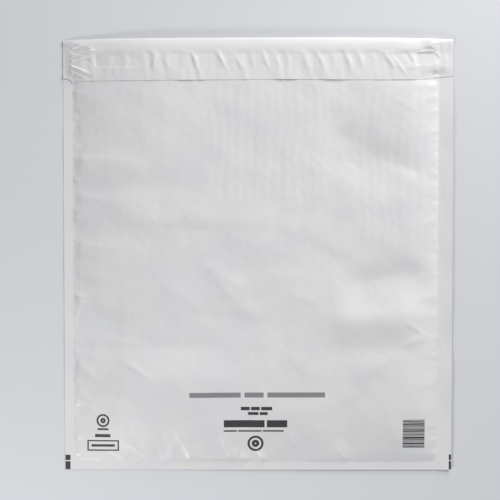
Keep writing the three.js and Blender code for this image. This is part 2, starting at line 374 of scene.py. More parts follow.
def side_steps(x, y):
    """The film rises steeply off the right seal and dips beside the left one: both fade as
    exp(-d / run), with d the distance in from the seal."""
    from_right = RIGHT_LINE - x
    step = smooth(from_right / 5) * np.exp(-np.maximum(from_right, 0) / 30)
    from_left = x - LEFT_LINE
    dip = smooth(from_left / 2.5) * np.exp(-np.maximum(from_left, 0) / 6)
    return 1.3 * step * smooth((170 - y) / 10) - 0.4 * dip


def bottom_gathers(x, y):
    """Small gathers along the bottom seal, made like the side ones."""
    made = puckers(y, x, SEAL_LINE, 1, (LEFT_LINE + 6, RIGHT_LINE - 6), 46, 23, 0.2)
    return made * smooth(side_distance(x) / 12)


def panel_gathers(x, y):
    """The fine relief on the broad form: bubble rows, small waves, gathers at the seals, and a
    crease along the bottom seal, which is a bell curve across."""
    small = bubble_rows(x, y) + 0.025 * waves(x, y, 12, 30, 12, 5) + 0.07 * waves(x, y, 13, 30, 34, 12)
    up = smooth((y - SEAL_LINE) / 10)
    span = (SEAL_LINE + 4, 176)
    total = off_seals(x, y) * small + up * side_steps(x, y)
    for kind, line, inward, count, seed, *sizes in SIDE_GATHERS:
        total += up * kind(x, y, line, inward, span, count, seed, *sizes)
    crease = np.exp(-(((y - SEAL_LINE - 0.4) / CREASE_WIDTH) ** 2)) * smooth(side_distance(x) / 3)
    return total - CREASE_DEPTH * crease + bottom_gathers(x, y)


RIB_PITCH, RIB_HEIGHT = 2.4, 0.035


def seal_ribs(x, y):
    """Fine ribs that the hot bars press into the side strips: a wave across at their pitch and
    a weaker one at 1.5 mm, from 4 mm above the bottom edge up."""
    strip = smooth(-side_distance(x) / 0.8) * smooth((HALF_WIDTH - np.abs(x)) / 0.8)
    lines = np.cos(math.tau * (x - LEFT_LINE) / RIB_PITCH) + 0.5 * np.cos(x * 4.1)
    return RIB_HEIGHT * strip * lines * smooth((y - BOTTOM - 4) / 2 + 1)


def strip_wander(x, y):
    """The side strips and the bottom edge lie a little up and down along their length, more at
    the right, and the right strip also rises to its outer edge below the flap."""
    outside = smooth(-side_distance(x) / 9) + smooth((SEAL_LINE - y) / 7)
    size = np.where(x < 0, 0.1, 0.3)
    lift = 0.09 * np.clip(x - RIGHT_LINE, 0, RIGHT_SEAL) * smooth((175 - y) / 40)
    return size * (waves(x * 0.25, y, 31, 10, 150, 50) - 0.3) * np.clip(outside, 0, 1) + lift


# The top fold and the flap


def through(x, knots):
    """Straight stretches between the knots, each an x and a y."""
    places, values = zip(*knots)
    return np.interp(x, places, values)


# The line of the top fold and the flap's free edge, as knots
FOLD_TOP = [(-186.3, 204.6), (-178, 205.0), (-150, 206.2), (-110, 206.7), (-30, 207.2),
            (50, 207.5), (118, 207.3), (165, 206.6), (176, 206.0), (186.3, 205.6)]
FLAP_EDGE = [(-186.3, 168.9), (-182.5, 168.4), (-179.5, 167.0), (-177.2, 164.4), (-175, 165.0),
             (-168, 166.1), (-60, 166.8), (20, 167.4), (120, 166.9), (150, 167.2),
             (166, 168.4), (173, 169.9), (186.3, 170.8)]


def flap_gap(x, y):
    """Air between the front and the flap: less towards the flap's free edge, on the left side
    strip and at the right end, and more towards the round of the fold."""
    air = 0.22 + 0.78 * np.clip((y - 167) / 33, 0, 1) + FOLD_AIR * smooth((y - 191) / 15)
    at_left = 0.1 + 0.9 * smooth((x - LEFT_LINE + 6) / 50)
    at_right = 1 - 0.6 * smooth((x - 164) / 10)
    return air * at_left * at_right


def tab_rise(x, y):
    """How far the flap stands up at its two ends: highest at the side seals and down again to
    the outer edges, and at the left also along the free edge."""
    past = (x - RIGHT_LINE) / RIGHT_SEAL
    right = RIGHT_TAB_UP * np.clip(1 - past, 0, 1) * smooth((x - RIGHT_LINE + 20) / 20)
    left = LEFT_TAB_UP * smooth((x - LEFT_LINE + 10) / 10) * (1 - smooth((x - LEFT_LINE) / 32))
    edge = LEFT_EDGE_UP * smooth((LEFT_LINE + 3 - x) / 4) * (1 - smooth((y - 168) / 9))
    return right * smooth((y - 170.5) / 11) + left * smooth((y - 167) / 9) + edge


def fold_start(x):
    """Where the round of the top fold begins: its y, its middle height, half its height, and
    how far it runs on from there."""
    top = through(x, FOLD_TOP)
    ease = FOLD_EASE * smooth(side_distance(x) / 24)
    guess = top - FILM_AND_LINING - ease
    low = back_base(x, guess)
    high = front_base(x, guess) + flap_gap(x, guess) + WALL + tab_rise(x, guess)
    radius = (high - low) / 2
    depth = radius + ease
    return top - depth, low + radius, radius, depth


# Each ridge on the flap: place at the strip's middle, height, width, lean, and the share of
# it that runs on to the free edge
RIPPLES = [
    (-99.0, 0.45, 1.4, 0.05, 0.5), (-88.0, 0.30, 2.2, -0.2, 0.4), (-71.8, 0.22, 2.6, -0.1, 0.3),
    (-60.2, 0.55, 1.5, -0.35, 0.8), (-34.5, 0.46, 1.5, -0.45, 0.6), (-19.2, 0.32, 2.2, -0.4, 0.6),
    (-5.4, 0.30, 1.8, -0.1, 0.5), (7.1, 0.42, 1.5, -0.35, 0.4), (18.3, 0.40, 1.9, -0.25, 0.8),
    (28.6, 0.34, 1.8, -0.1, 0.7), (45.3, 0.30, 2.4, -0.3, 0.6), (59.6, 0.45, 1.7, -0.4, 0.7),
    (71.6, 0.20, 2.6, -0.3, 0.4), (85.4, 0.45, 1.8, -0.4, 0.7), (97.4, 0.36, 1.9, -0.3, 0.8),
    (109.8, 0.28, 2.0, -0.2, 0.4), (124.6, 0.50, 2.0, -0.6, 0.2), (147.5, 0.16, 2.0, -0.4, 0.1),
]
STRIP_CELLS = [-156.3, -140.1, -124.3, -106.5]  # walls of the deeper cells at its left end
STRIP_TOP, STRIP_LOW = 191.2, 178.8  # the edges of the strip under the flap, at its left end
STRIP_TOP_RISE, STRIP_LOW_RISE = 1.2, 2.6  # how far they run up to its right end
STRIP_START, STRIP_RUN = -158.0, 330.0
STRIP_SHOWS = (-157.0, 171.0)  # the ends of its outline on the flap
STRIP_DRAW, END_DRAW = 0.08, 0.14  # how far its glue draws the flap in, and more at its right end
CELL_DEPTH = 0.62


def strip_edges(x):
    """The top and bottom edge of the strip: two straight lines."""
    along = (x - STRIP_START) / STRIP_RUN
    return STRIP_TOP + STRIP_TOP_RISE * along, STRIP_LOW + STRIP_LOW_RISE * along


def over_strip(x, y):
    """1 over the strip, 0 beside it: its outline is a bar with round ends."""
    top, low = strip_edges(x)
    half = (top - low) / 2
    left, right = STRIP_SHOWS
    past = np.maximum(np.maximum(left + half - x, x - (right - half)), 0)
    from_middle = np.hypot(y - (top + low) / 2, past)
    return smooth((half - from_middle) / 1.5 + 0.5)


# Folds on the flap, written like the front's
FLAP_MARKS = [
    # Gathers that fan out from the left seal
    (-180, 201.8, -150, 205.4, 1.2, 1.8, 0.35, 0.5, 0.5),
    (-180, 197.0, -163, 201.5, 1.4, 1.6, 0.3, 0, 0.5),
    (-180, 190.2, -146, 200.6, 2.0, 2.2, 0.25, -0.8, 0.5),
    (-180, 185.0, -157, 189.6, 1.3, 1.6, 0.3, 0, 0.5),
    (-180, 181.0, -158, 171.5, 1.7, 2.0, 0.3, 0.5, 0.5),
    (-180, 175.8, -162, 166.5, 1.4, 1.8, 0.3, 0.4, 0.5),
    (-165, 186.0, -157, 181.0, -0.3, 1.6, 0.5, 0.4, 0),
    # The long fold and the hooked hollow by the strip's right end
    (126, 191, 141.5, 169.5, 0.7, 2.0, 0.35, 0.8, 0),
    (139.5, 193.0, 146.0, 181.5, -0.9, 1.8, 0.45, 0.8, 0),
    (142, 178.5, 152, 180.0, 0.25, 2.4, 0.5, -0.8, 0),
    # The fold that curls round the strip's end
    (149, 192.3, 170.5, 193.6, 0.6, 2.0, 0.65, 0.9, 0),
    (168.5, 193.4, 173.2, 186.8, 0.6, 1.5, 0.6, 1.2, 0),
    # Folds at the right end of the top
    (158, 206.0, 174, 200.0, 0.5, 2.2, 0.7, 0.5, 0),
    (159, 200.0, 173, 193.5, 0.4, 2.4, 0.6, 0.6, 0),
    # The pillow and the crease across the left tab
    (-192, 201.0, -170, 201.5, 0.3, 4.5, 0.7, 0, 0),
    (-190, 198.0, -174, 197.4, -0.3, 1.3, 0.5, 0, 0),
]


def flap_relief(x, y):
    """The film of the flap over the strip: shallow where the strip's glue draws it in, deeper
    in the first cells and at the round end, with small leaning ridges
    exp(-1.3 (sqrt(t squared + 0.09) - 0.3)) across, folds, gathers at the ends, small waves
    and a loose lower edge."""
    step = over_strip(x, y)
    total = -(STRIP_DRAW + END_DRAW * smooth((x - 146) / 8) * smooth((y - 178) / 9)) * step
    for start, stop in zip(STRIP_CELLS, STRIP_CELLS[1:]):
        at = start + 0.7 * np.sin((y - 180) * 0.3)
        share = np.clip((x - at) / (stop - start), 0, 1)
        cell = smooth((x - at) / 1.0 + 0.5) * (1 - share ** 1.5) * smooth((185 - y) / 9 + 1)
        total -= CELL_DEPTH * cell * step
    strength = 2.6 - 0.6 * smooth((x + 20) / 60)
    belly = 0.55 + 0.45 * np.exp(-(((y - 185) / 6) ** 2))
    for place, height, width, lean, reach in RIPPLES:
        at = place + lean * (y - 185.5) + 0.3 * np.sin(y * 0.5 + place)
        wide = width * (1 + 0.7 * smooth((180 - y) / 8))
        t = (x - at) / np.where(x < at, wide, wide * 1.15)
        ridge = np.exp(-1.3 * (np.sqrt(t * t + 0.09) - 0.3))
        runs = smooth((199 - y) / 9) * (1 - (1 - reach) * smooth((182 - y) / 7))
        total += strength * height * ridge * runs * belly
    for mark in FLAP_MARKS:
        total += fold_mark(x, y, mark)
    span = (168, 204)
    total += 0.4 * puckers(x, y, LEFT_LINE, 1, span, 12, 45, 0.7)
    total += 0.9 * puckers(x, y, RIGHT_LINE, -1, span, 8, 46, 0.5)
    total += 0.10 * waves(x, y, 42, 20, 40, 9)
    total += 0.08 * waves(x, y * 0.35, 43, 20, 14, 5)
    from_edge = y - through(x, FLAP_EDGE)
    total += np.exp(-from_edge / 4.0) * (0.12 * waves(x, 0 * y, 44, 12, 50, 12))
    return total


# The bag as one folded sheet

EDGE_ZONE_LEFT, EDGE_ZONE_RIGHT = 26.0, 24.0  # widths of the close columns beside the seals
GATHER_ZONE = 34.0  # height of the close rows above the bottom seal
FLAP_ZONE = 160.0  # where the rows begin to follow the fold


def columns():
    """Places across the bag, close together on the strips and beside the seals."""
    left, right = LEFT_LINE + EDGE_ZONE_LEFT, RIGHT_LINE - EDGE_ZONE_RIGHT
    stretches = [
        (-HALF_WIDTH, LEFT_LINE, 18),
        (LEFT_LINE, left, 29),
        (left, right, 186),
        (right, RIGHT_LINE, 27),
        (RIGHT_LINE, HALF_WIDTH, 25),
    ]
    inner = [np.linspace(*stretch)[1:] for stretch in stretches]
    return np.concatenate([[-HALF_WIDTH]] + inner)


def rows_up(x, stop, counts):
    """Rows from the bottom edge up to a stop that may differ from column to column."""
    low, high = counts
    first = np.linspace(BOTTOM, SEAL_LINE, 9)[:-1]
    lower = np.linspace(SEAL_LINE, SEAL_LINE + GATHER_ZONE, low)[:-1]
    upper = np.linspace(SEAL_LINE + GATHER_ZONE, FLAP_ZONE, high)[:-1]
    fixed = np.concatenate([first, lower, upper])[:, None] * np.ones_like(x)
    t = np.linspace(0, 1, max(4, high // 8))[:, None]
    return np.vstack([fixed, FLAP_ZONE + t * (stop - FLAP_ZONE)])


def front_surface(x, y):
    """The front panel's outer face. The fine relief only sinks as far as the inner face allows:
    below zero it bends off as -limit tanh(-relief / limit)."""
    shape = panel_shape(x, y)
    limit = 0.8 * (1 - inner_share(x, y)) * (shape - middle(x, y)) + 0.02
    fine = panel_gathers(x, y)
    fine = np.where(fine < 0, -limit * np.tanh(-fine / limit), fine)
    return shape + fine + seal_ribs(x, y) + strip_wander(x, y)


def front_inside(x, y, share=1.0):
    """A face inside the front film, at a share of the way from the middle plane to the film's
    inner face."""
    mid = middle(x, y)
    out = (panel_shape(x, y) - mid - SEAL_HALF) * inner_share(x, y) * share
    return mid + out + strip_wander(x, y)


def back_surface(x, y):
    """The back's outer face: gathers and waves like the front's, weaker, only where the back
    is off the table, and never below it."""
    inside = smooth(side_distance(x) / 3) * smooth((y - SEAL_LINE) / 3)
    span = (SEAL_LINE + 4, 190)
    relief = 0.5 * puckers(x, y, LEFT_LINE, 1, span, 60, 51, 0.4)
    relief += 0.5 * puckers(x, y, RIGHT_LINE, -1, span, 60, 52, 0.35)
    relief += 0.12 * inside * waves(x, y, 53, 20, 80, 20)
    rise = smooth(back_base(x, y) / 0.8)
    total = back_base(x, y) + relief * rise + strip_wander(x, y)
    total -= seal_ribs(x, y) * 0.8
    return np.maximum(total, 0.0)


def back_web(x, start_y):
    """Up the back, whose gathers give way to the plain back below the fold."""
    y = rows_up(x, start_y, (16, 60))
    plain_share = smooth((y - 170) / 30)
    plain = back_base(x, y) + strip_wander(x, y)
    return y, back_surface(x, y) * (1 - plain_share) + plain_share * plain


def fold_round(start_y, middle_z, depth, radius, turns, count):
    """Half an ellipse round the top fold, without its first and last row."""
    turn = np.linspace(*turns, count)[1:-1, None]
    return start_y + depth * np.cos(turn), middle_z + radius * np.sin(turn)


def flap_web(x, start_y, mouth):
    """Down the flap's outer face: the plain front, the air, the flap's relief, which comes in
    just below the fold, and the rise at its ends, but never closer to the front than the least
    gap."""
    t = np.linspace(0, 1, 58)[:, None]
    y = start_y + t * (through(x, FLAP_EDGE) - start_y)
    base = front_base(x, y) + flap_gap(x, y) + WALL
    eased = smooth((start_y - y + 3) / 6) * smooth(t * 30)
    z = base + flap_relief(x, y) * eased + strip_wander(x, y) + tab_rise(x, y)
    lowest = front_surface(x, y) + WALL + LEAST_GAP
    return y, np.where(y < mouth, np.maximum(z, lowest), z)


def inside_back(x, start_y):
    """Down the inside of the back from the fold to the bottom seal: 0.7 of the way from the
    middle plane to the back, and at the fold a wall above the back."""
    y = np.linspace(0, 1, 30)[:, None] * (SEAL_LINE - start_y) + start_y
    mid = middle(x, y)
    low = mid - 0.7 * (half_thickness(x, y) - SEAL_HALF)
    at_fold = smooth((y - 185) / 12)
    low = low * (1 - at_fold) + at_fold * (back_base(x, y) + WALL)
    return y, np.minimum(low, mid) + strip_wander(x, y) - HAIR


def inside_front(x, mouth):
    """Up the inside of the front from the bottom seal to the mouth, where it comes to a wall
    below the front's face."""
    y = np.linspace(0, 1, 46)[:, None] * (mouth - SEAL_LINE) + SEAL_LINE
    at_mouth = smooth((y - mouth + 8) / 8)
    high = front_inside(x, y) + HAIR
    return y, high * (1 - at_mouth) + at_mouth * (front_surface(x, y) - WALL)


def bag_section(x):
    """The closed outline of the folded film for every column: up the back, round the top fold,
    down the flap and back inside it, down the inside of the back, up the inside of the front,
    and over the mouth down the front. Returns y and z, rows by columns, and the front's rows."""
    start_y, start_z, radius, depth = fold_start(x)
    middle_z = start_z + strip_wander(x, start_y)
    mouth = start_y - MOUTH_SETBACK
    low, high = -math.pi / 2, math.pi / 2
    flap_y, flap_z = flap_web(x, start_y, mouth)
    front_y = rows_up(x, mouth, (32, 224))[::-1]
    front_z = front_surface(x, front_y)
    webs = [
        back_web(x, start_y),
        fold_round(start_y, middle_z, depth, radius, (low, high), 15),
        (flap_y, flap_z),
        (flap_y[::-1], flap_z[::-1] - WALL),
        fold_round(start_y, middle_z, depth - WALL, radius - WALL, (high, low), 11),
        inside_back(x, start_y),
        inside_front(x, mouth),
        (front_y, front_z),
    ]
    ys, zs = zip(*webs)
    return np.vstack(ys), np.vstack(zs), front_y, front_z


def new_mesh(name, points, faces, material, smooth_shade=True, sharp=None):
    """A mesh object from points in millimetres and a face list."""
    mesh = bpy.data.meshes.new(name)
    mesh.from_pydata((points * MM).tolist(), [], faces)
    mesh.materials.append(material)
    mesh.polygons.foreach_set("use_smooth", [smooth_shade] * len(mesh.polygons))
    if sharp is not None:
        mesh.set_sharp_from_angle(angle=math.radians(sharp))
    mesh.update()
    piece = bpy.data.objects.new(name, mesh)
    bpy.context.scene.collection.objects.link(piece)
    return piece


def grid_faces(rows, cols, closed_rows):
    """Quads between neighbouring rows and columns of a grid, its rows closed to a ring or not."""
    last = rows if closed_rows else rows - 1
    r = np.arange(last)[:, None]
    c = np.arange(cols - 1)[None, :]
    a = r * cols + c
    b = r * cols + c + 1
    below = (r + 1) % rows * cols
    return np.stack([a, b, below + c + 1, below + c], axis=-1).reshape(-1, 4)


def ring_loft(name, x, y, z, material, sharp):
    """Carries the closed outlines y, z (rows by columns) along x, and closes both ends."""
    rows, cols = y.shape
    points = np.stack([np.broadcast_to(x, y.shape), y, z], axis=-1).reshape(-1, 3)
    faces = grid_faces(rows, cols, True).tolist()
    start = (np.arange(rows) * cols).tolist()
    end = (np.arange(rows) * cols + cols - 1).tolist()
    faces.append(start)
    faces.append(end[::-1])
    return new_mesh(name, points, faces, material, sharp=sharp)


# Materials


def shader_group(name, output):
    """An empty node group that takes a place and gives one value."""
    group = bpy.data.node_groups.new(name, "ShaderNodeTree")
    group.interface.new_socket("Place", in_out="INPUT", socket_type="NodeSocketVector")
    group.interface.new_socket(output, in_out="OUTPUT", socket_type="NodeSocketFloat")
    entry = group.nodes.new("NodeGroupInput")
    leave = group.nodes.new("NodeGroupOutput")
    return group, entry, leave


def math_node(tree, operation, a, b=0.0):
    """One sum on two values, each a number or the output of another node."""
    node = tree.nodes.new("ShaderNodeMath")
    node.operation = operation
    for socket, value in zip(node.inputs, (a, b)):
        if isinstance(value, float):
            socket.default_value = value
        else:
            tree.links.new(value, socket)
    return node.outputs[0]


def ramp_node(tree, value, start, stop, kind):
    """0 where a value is at start, 1 where it is at stop, by a LINEAR or SMOOTHSTEP rise."""
    node = tree.nodes.new("ShaderNodeMapRange")
    node.interpolation_type = kind
    node.inputs["From Min"].default_value = start
    node.inputs["From Max"].default_value = stop
    tree.links.new(value, node.inputs["Value"])
    return node.outputs["Result"]


def film_crinkle_group():
    """Fine crinkle of thin film, as a height in millimetres: a coarse and a fine noise and a
    faint grain that is drawn out up the web, added up."""
    group, entry, leave = shader_group("film crinkle", "Height")

    def noise(scale, detail, stretch, height):
        """A noise on the place times a stretch, made as high as asked."""
        spread = group.nodes.new("ShaderNodeMapping")
        spread.inputs["Scale"].default_value = stretch
        group.links.new(entry.outputs["Place"], spread.inputs["Vector"])
        made = group.nodes.new("ShaderNodeTexNoise")
        made.inputs["Scale"].default_value = scale
        made.inputs["Detail"].default_value = detail
        group.links.new(spread.outputs["Vector"], made.inputs["Vector"])
        return math_node(group, "MULTIPLY", made.outputs["Fac"], height)

    coarse = noise(160, 3, (1, 1, 1), 0.10)
    fine = noise(700, 2, (1, 1, 1), 0.02)
    grain = noise(900, 1, (1, 0.05, 1), 0.008)
    total = math_node(group, "ADD", math_node(group, "ADD", coarse, fine), grain)
    group.links.new(total, leave.inputs["Height"])
    return group


def strip_mask_group():
    """1 where the glued strip lies under the flap's thin film, 0 elsewhere: a soft-edged bar
    with round ends, from the distance to its middle line. All places are in metres."""
    group, entry, leave = shader_group("strip under the film", "Share")
    line_slope = 0.0057
    line_height = (STRIP_TOP + STRIP_LOW) / 2 * MM + 0.0009  # of the middle line, at x = 0
    line_centre, line_half = 0.007, 0.1585
    soft_edge = (0.0064, 0.0048)  # distance from the line
    above_back = (0.0035, 0.0045)  # height above the table, which leaves out the bag's back
    split = group.nodes.new("ShaderNodeSeparateXYZ")
    group.links.new(entry.outputs["Place"], split.inputs[0])
    x, y, z = (split.outputs[axis] for axis in "XYZ")
    line = math_node(group, "ADD", math_node(group, "MULTIPLY", x, line_slope), line_height)
    off_line = math_node(group, "SUBTRACT", y, line)
    along = math_node(group, "ABSOLUTE", math_node(group, "SUBTRACT", x, line_centre))
    past = math_node(group, "MAXIMUM", math_node(group, "SUBTRACT", along, line_half), 0.0)
    squares = [math_node(group, "MULTIPLY", side, side) for side in (off_line, past)]
    distance = math_node(group, "SQRT", math_node(group, "ADD", *squares))
    near_line = ramp_node(group, distance, *soft_edge, "SMOOTHSTEP")
    on_flap = ramp_node(group, z, *above_back, "LINEAR")
    share = math_node(group, "MULTIPLY", near_line, on_flap)
    group.links.new(share, leave.inputs["Share"])
    return group


def lining_contact_group():
    """How closely the thin film lies on the bubbles under it, as broad soft patches of noise:
    0 where it lies loose and looks a little greyer, 1 where it lies tight and looks whiter."""
    group, entry, leave = shader_group("film on the bubbles", "Share")
    patches = group.nodes.new("ShaderNodeTexNoise")
    patches.inputs["Scale"].default_value = 17.0
    patches.inputs["Detail"].default_value = 4.0
    patches.inputs["Roughness"].default_value = 0.6
    group.links.new(entry.outputs["Place"], patches.inputs["Vector"])
    share = ramp_node(group, patches.outputs["Fac"], 0.40, 0.60, "SMOOTHSTEP")
    group.links.new(share, leave.inputs["Share"])
    return group


def plain_material(name, colour, roughness):
    """One colour and one gloss all over."""
    made = bpy.data.materials.new(name)
    made.use_nodes = True
    shader = made.node_tree.nodes["Principled BSDF"]
    shader.inputs["Base Color"].default_value = (*colour, 1)
    shader.inputs["Roughness"].default_value = roughness
    return made


FILM_WHITE = (0.70, 0.70, 0.71)  # for a viewer that reads no nodes
LOOSE_FILM = (0.682, 0.687, 0.704)
TIGHT_FILM = (0.706, 0.706, 0.713)
FILM_OVER_STRIP = (0.700, 0.699, 0.702)
FILM_ROUGHNESS = 0.30
CRINKLE_STRENGTH = 0.31


def film_material(name):
    """White film with a soft gloss and a fine crinkle. It is greyer where it lies loose and
    whiter where it lies tight on the bubbles, and warmer over the glued strip."""
    made = plain_material(name, FILM_WHITE, FILM_ROUGHNESS)
    nodes, links = made.node_tree.nodes, made.node_tree.links
    shader = nodes["Principled BSDF"]
    place = nodes.new("ShaderNodeTexCoord")

    def masked(group):
        """What a group gives for each place on the piece."""
        node = nodes.new("ShaderNodeGroup")
        node.node_tree = group
        links.new(place.outputs["Object"], node.inputs["Place"])
        return node.outputs[0]

    def two_colours(share):
        """A mix of colours A and B by a share of B."""
        node = nodes.new("ShaderNodeMix")
        node.data_type = "RGBA"
        links.new(share, node.inputs["Factor"])
        return node

    tone = two_colours(masked(lining_contact_group()))
    tone.inputs["A"].default_value = (*LOOSE_FILM, 1)
    tone.inputs["B"].default_value = (*TIGHT_FILM, 1)
    colour = two_colours(masked(strip_mask_group()))
    colour.inputs["B"].default_value = (*FILM_OVER_STRIP, 1)
    links.new(tone.outputs["Result"], colour.inputs["A"])
    links.new(colour.outputs["Result"], shader.inputs["Base Color"])

    bump = nodes.new("ShaderNodeBump")
    bump.inputs["Strength"].default_value = CRINKLE_STRENGTH
    bump.inputs["Distance"].default_value = MM
    links.new(masked(film_crinkle_group()), bump.inputs["Height"])
    links.new(bump.outputs["Normal"], shader.inputs["Normal"])
    return made


white_film = film_material("white film")
clear_lining = plain_material("bubble film", (0.80, 0.82, 0.83), 0.25)
peel_film = plain_material("peel strip film", (0.80, 0.80, 0.78), 0.3)
glue_tacky = plain_material("glue", (0.76, 0.71, 0.56), 0.35)
grey_ink = plain_material("grey ink", (0.23, 0.23, 0.24), 0.5)
dark_ink = plain_material("dark ink", (0.035, 0.035, 0.04), 0.5)

# The film bag

across = columns()
section_y, section_z, front_y, front_z = bag_section(across)
film_bag = ring_loft("film_bag", across, section_y, section_z, white_film, sharp=50)
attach(film_bag, "root")
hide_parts("outer_film")


def on_front(x, y):
    """Height of the finished front panel, read between the mesh's own rows and columns."""
    column = np.clip(np.searchsorted(across, x) - 1, 0, len(across) - 2)
    s = (x - across[column]) / (across[column + 1] - across[column])
    rows_y = front_y[::-1, 0]
    row = np.clip(np.searchsorted(rows_y, y) - 1, 0, len(rows_y) - 2)
    t = (y - rows_y[row]) / (rows_y[row + 1] - rows_y[row])
    z = front_z[::-1]
    low = z[row, column] * (1 - s) + z[row, column + 1] * s
    high = z[row + 1, column] * (1 - s) + z[row + 1, column + 1] * s
    return low * (1 - t) + high * t


# The printing, as plain bars, boxes and rings

INK_ABOVE, INK_BELOW = 0.05, 0.04  # how far the ink stands out of the film and reaches into it
INK_STEP = 1.3  # spacing of the points in a patch of ink


def ink_patch(outline_x, outline_y):
    """A thin closed slab of ink that follows the film: the grid of points (rows by columns) on
    top, the same below the film's face, and a rim round them."""
    rows, cols = outline_x.shape
    z = on_front(outline_x, outline_y)
    top = np.stack([outline_x, outline_y, z + INK_ABOVE], axis=-1).reshape(-1, 3)
    under = np.stack([outline_x, outline_y, z - INK_BELOW], axis=-1).reshape(-1, 3)
    count = rows * cols
    upper = grid_faces(rows, cols, False)
    lower = upper[:, ::-1] + count
    ring = np.concatenate([
        np.arange(cols),
        np.arange(1, rows) * cols + cols - 1,
        (rows - 1) * cols + np.arange(cols - 2, -1, -1),
        np.arange(rows - 2, 0, -1) * cols,
    ])
    after = np.roll(ring, -1)
    rim = np.stack([after, ring, ring + count, after + count], axis=-1)
    return np.vstack([top, under]), np.vstack([upper, lower, rim])


def bar(x0, y0, x1, y1):
    """A rectangle of ink, as grids of x and y."""
    nx = max(2, int((x1 - x0) / INK_STEP) + 2)
    ny = max(2, int((y1 - y0) / INK_STEP) + 2)
    return np.meshgrid(np.linspace(x0, x1, nx), np.linspace(y0, y1, ny))


def frame_bars(x0, y0, x1, y1, stroke):
    """A hollow rectangle of four bars."""
    return [
        bar(x0, y0, x1, y0 + stroke),
        bar(x0, y1 - stroke, x1, y1),
        bar(x0, y0 + stroke, x0 + stroke, y1 - stroke),
        bar(x1 - stroke, y0 + stroke, x1, y1 - stroke),
    ]


def round_band(cx, cy, inner, outer):
    """A ring of ink, as grids of x and y: circles between two radii, 40 steps round."""
    angle = np.radians(np.linspace(0.0, 360.0, 41))[None, :]
    radius = np.linspace(outer, inner, 3)[:, None]
    return cx + radius * np.cos(angle), cy + radius * np.sin(angle)


def printed(name, patches, ink):
    """One piece of printing from a list of patches."""
    points, faces, count = [], [], 0
    for grid_x, grid_y in patches:
        p, f = ink_patch(grid_x, grid_y)
        points.append(p)
        faces.append(f + count)
        count += len(p)
    piece = new_mesh(name, np.vstack(points), np.vstack(faces).tolist(), ink, smooth_shade=False)
    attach(piece, "root")


def dashes(x0, x1, y0, y1, shares, gap):
    """A row of bars with gaps between, whose widths are in proportion to their shares."""
    room = (x1 - x0) - gap * (len(shares) - 1)
    total = sum(shares)
    made, at = [], x0
    for share in shares:
        wide = room * share / total
        made.append(bar(at, y0, at + wide, y1))
        at += wide + gap
    return made


printed("heading_bars", dashes(-65.7, 64.0, -136.2, -131.4, (8, 3, 9), 3.6), grey_ink)

FRONT_RING = (-2.5, -181.3)
printed(
    "front_print",
    dashes(-16.5, 13.4, -148.6, -145.3, (4, 4, 5), 1.3)
    + dashes(-9.7, 9.1, -153.2, -150.4, (4, 3), 1.3)
    + dashes(-32.9, 27.9, -165.3, -158.3, (6, 3), 2.2)
    + dashes(-32.9, 24.5, -169.6, -168.2, (5, 9, 8), 1.2)
    + [round_band(*FRONT_RING, 5.6, 7.7), round_band(*FRONT_RING, 0.8, 3.6)],
    dark_ink,
)

LEFT_RING = (-149.1, -159.3)
printed(
    "left_print",
    [round_band(*LEFT_RING, 4.6, 6.3), round_band(*LEFT_RING, 0.6, 2.6)]
    + [bar(-154.5, -168.6, -143.9, -166.8), bar(-156.9, -175.6, -142.0, -172.5)]
    + frame_bars(-164.5, -189.0, -134.0, -178.4, 1.3)
    + [bar(-160.5, -184.9, -138.0, -182.5)],
    dark_ink,
)


def stock_bars():
    """Plain bars stacked up the panel in widths that repeat, which stand for no number."""
    left, right = 138.9, 160.0
    low, height = -185.6, 27.9
    widths = (1, 2, 1, 3, 1, 1, 2, 4, 1, 2, 1, 1, 3, 2, 1, 1, 2, 3, 1, 2, 1)
    gap = 1.05
    unit = height / (sum(widths) + len(widths) * gap)
    made, at = [], low
    for wide in widths:
        made.append(bar(left, at, right, at + wide * unit))
        at += (wide + gap) * unit
    return made


printed("stock_bars", stock_bars(), dark_ink)

# Two short bars at each bottom corner
printed(
    "edge_marks",
    [
        bar(-185.9, -198.3, -181.1, -193.2),
        bar(-185.9, -207.2, -181.1, -199.5),
        bar(183.9, -198.0, 186.0, -192.6),
        bar(183.9, -207.1, 186.0, -199.0),
    ],
    dark_ink,
)

# What lies under the flap, and the lining

NEAR = 1.3  # the flap's folds this far to each side also keep the band down
BAND_ROOM = 0.13  # least room between the front and the flap for a band


def flap_under(x, y):
    """The underside of the flap without the rise at its ends: the plain front, the air and the
    flap's relief."""
    return front_base(x, y) + flap_gap(x, y) + flap_relief(x, y)


def strip_band(name, left, right, shrink, heights, material):
    """A thin band with round ends, lying between the front and the flap: its middle line
    follows the strip's edges, its half width falls off as a circle near each end, and its two
    faces lie at their shares of the way from the front to the flap."""
    x = np.linspace(left, right, 220)
    top, low = strip_edges(x)
    half = (top - low) / 2 - shrink
    reach = half[0]
    end = np.minimum(np.clip((x - left) / reach, 0, 1), np.clip((right - x) / reach, 0, 1))
    half = half * np.sqrt(np.clip(1 - (1 - end) ** 2, 0.02, 1))
    y = (top + low) / 2 + np.linspace(-1, 1, 9)[:, None] * half
    front = front_surface(x, y)
    nearby = [flap_under(x + shift, y) for shift in (-NEAR, 0, NEAR)]
    ceiling = np.maximum(np.minimum.reduce(nearby), front + BAND_ROOM)
    under, over = (front + (ceiling - front) * share for share in heights)
    ring_y = np.vstack([y, y[::-1]])
    ring_z = np.vstack([under, over[::-1]])
    piece = ring_loft(name, x, ring_y, ring_z, material, sharp=50)
    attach(piece, "root")
    return piece


release_strip = strip_band(
    "peel_strip", left=-159.0, right=171.5, shrink=-0.7, heights=(0.3, 0.42), material=peel_film
)
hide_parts("release_strip")
glue_band = strip_band(
    "glue_line", left=-157.0, right=168.0, shrink=0.4, heights=(0.62, 0.8), material=glue_tacky
)
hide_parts("glue_band")


